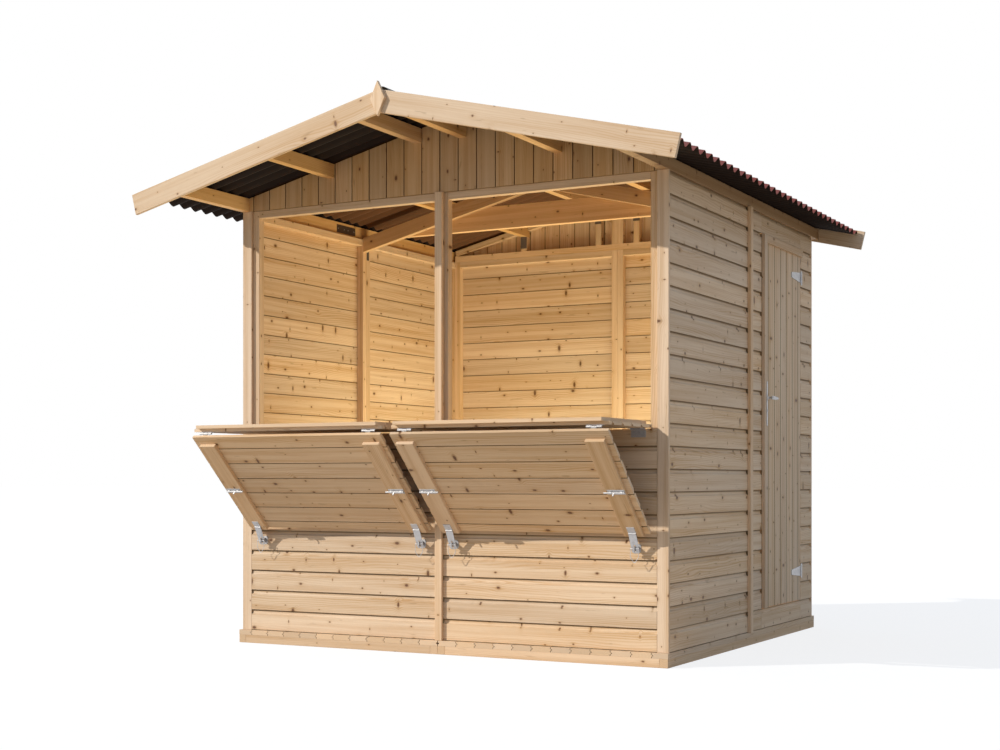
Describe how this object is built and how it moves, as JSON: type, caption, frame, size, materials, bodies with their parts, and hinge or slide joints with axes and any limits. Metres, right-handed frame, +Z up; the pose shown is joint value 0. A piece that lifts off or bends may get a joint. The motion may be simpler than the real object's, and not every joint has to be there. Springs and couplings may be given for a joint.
{
  "type": "wooden market hut",
  "caption": "Boarded wooden market hut with a side door, wide front openings with fold-down counters on hinged struts, and a low corrugated gable roof with a deep front overhang.",
  "frame": {"origin": "ground level, in the middle of the floor", "axes": "the sales front faces -Y, +X is the customer's right with the door in the +X wall, +Z up"},
  "size_m": [3.113, 3.094, 2.8283],
  "materials": {
    "spruce_front": "planed raw spruce, sunlit cream",
    "spruce_frame": "planed raw spruce framing, warm amber",
    "spruce_floor": "planed raw spruce floor boards",
    "spruce_trim": "planed raw spruce strips and barge boards",
    "bitumen_sheet": "corrugated bitumen sheet, dull dark red",
    "ridge_black": "black ridge cap, satin",
    "zinc_steel": "zinc plated steel hardware"
  },
  "bodies": {
    "hut": {"floor_runners": "spruce_frame", "floor_joists": "spruce_frame", "front_posts": "spruce_frame", "front_rails": "spruce_frame", "rear_posts": "spruce_frame", "rear_rails": "spruce_frame", "side_posts": "spruce_frame", "side_rails": "spruce_frame", "gable_rails": "spruce_frame", "purlins": "spruce_frame", "truss_rafters": "spruce_frame", "truss_tie": "spruce_frame", "floor_boards": "spruce_floor", "front_boards": "spruce_front", "rear_boards": "spruce_front", "left_boards": "spruce_front", "right_front_boards": "spruce_front", "right_boards_beside_door": "spruce_front", "right_boards_over_door": "spruce_front", "right_boards_under_door": "spruce_front", "front_gable": "spruce_front", "rear_gable": "spruce_front", "corner_strips": "spruce_trim", "centre_strips": "spruce_trim", "front_barge_boards": "spruce_trim", "rear_barge_boards": "spruce_trim", "finials": "spruce_trim", "roof_sheet_left": "bitumen_sheet", "roof_sheet_right": "bitumen_sheet", "ridge_cap": "ridge_black", "hinge_plates": "zinc_steel", "staples": "zinc_steel"},
    "door": {"door_boards": "spruce_front", "door_ledges": "spruce_frame", "door_trim": "spruce_trim", "door_straps": "zinc_steel", "door_handle": "zinc_steel"},
    "counter_left": {"counter_left_boards": "spruce_front", "counter_left_battens": "spruce_frame", "counter_left_hinges": "zinc_steel"},
    "strut_left": {"strut_left_boards": "spruce_front", "strut_left_battens": "spruce_frame", "strut_left_fittings": "zinc_steel"},
    "hasp_pair_left": {"hasps_left": "zinc_steel"},
    "counter_right": {"counter_right_boards": "spruce_front", "counter_right_battens": "spruce_frame", "counter_right_hinges": "zinc_steel"},
    "strut_right": {"strut_right_boards": "spruce_front", "strut_right_battens": "spruce_frame", "strut_right_fittings": "zinc_steel"},
    "hasp_pair_right": {"hasps_right": "zinc_steel"}
  },
  "joints": [
    {"name": "door_hinge", "type": "hinge", "parent": "hut", "child": "door", "pos_m": [1.274, 0.926, 1.231], "axis": [0, 0, 1], "range_deg": [0, 110]},
    {"name": "counter_left_hinge", "type": "hinge", "parent": "hut", "child": "counter_left", "pos_m": [-0.608, -1.1705, 1.143], "axis": [-1, 0, 0], "range_deg": [0, 90]},
    {"name": "strut_left_fold", "type": "hinge", "parent": "counter_left", "child": "strut_left", "pos_m": [-0.608, -1.6745, 1.14], "axis": [-1, 0, 0], "range_deg": [0, 135.7]},
    {"name": "hasps_left_hinge", "type": "hinge", "parent": "strut_left", "child": "hasp_pair_left", "pos_m": [-0.608, -1.23279, 0.64048], "axis": [-1, 0, 0], "range_deg": [0, 145]},
    {"name": "counter_right_hinge", "type": "hinge", "parent": "hut", "child": "counter_right", "pos_m": [0.608, -1.1705, 1.143], "axis": [-1, 0, 0], "range_deg": [0, 90]},
    {"name": "strut_right_fold", "type": "hinge", "parent": "counter_right", "child": "strut_right", "pos_m": [0.608, -1.6745, 1.14], "axis": [-1, 0, 0], "range_deg": [0, 135.7]},
    {"name": "hasps_right_hinge", "type": "hinge", "parent": "strut_right", "child": "hasp_pair_right", "pos_m": [0.608, -1.23279, 0.64048], "axis": [-1, 0, 0], "range_deg": [0, 145]}
  ]
}
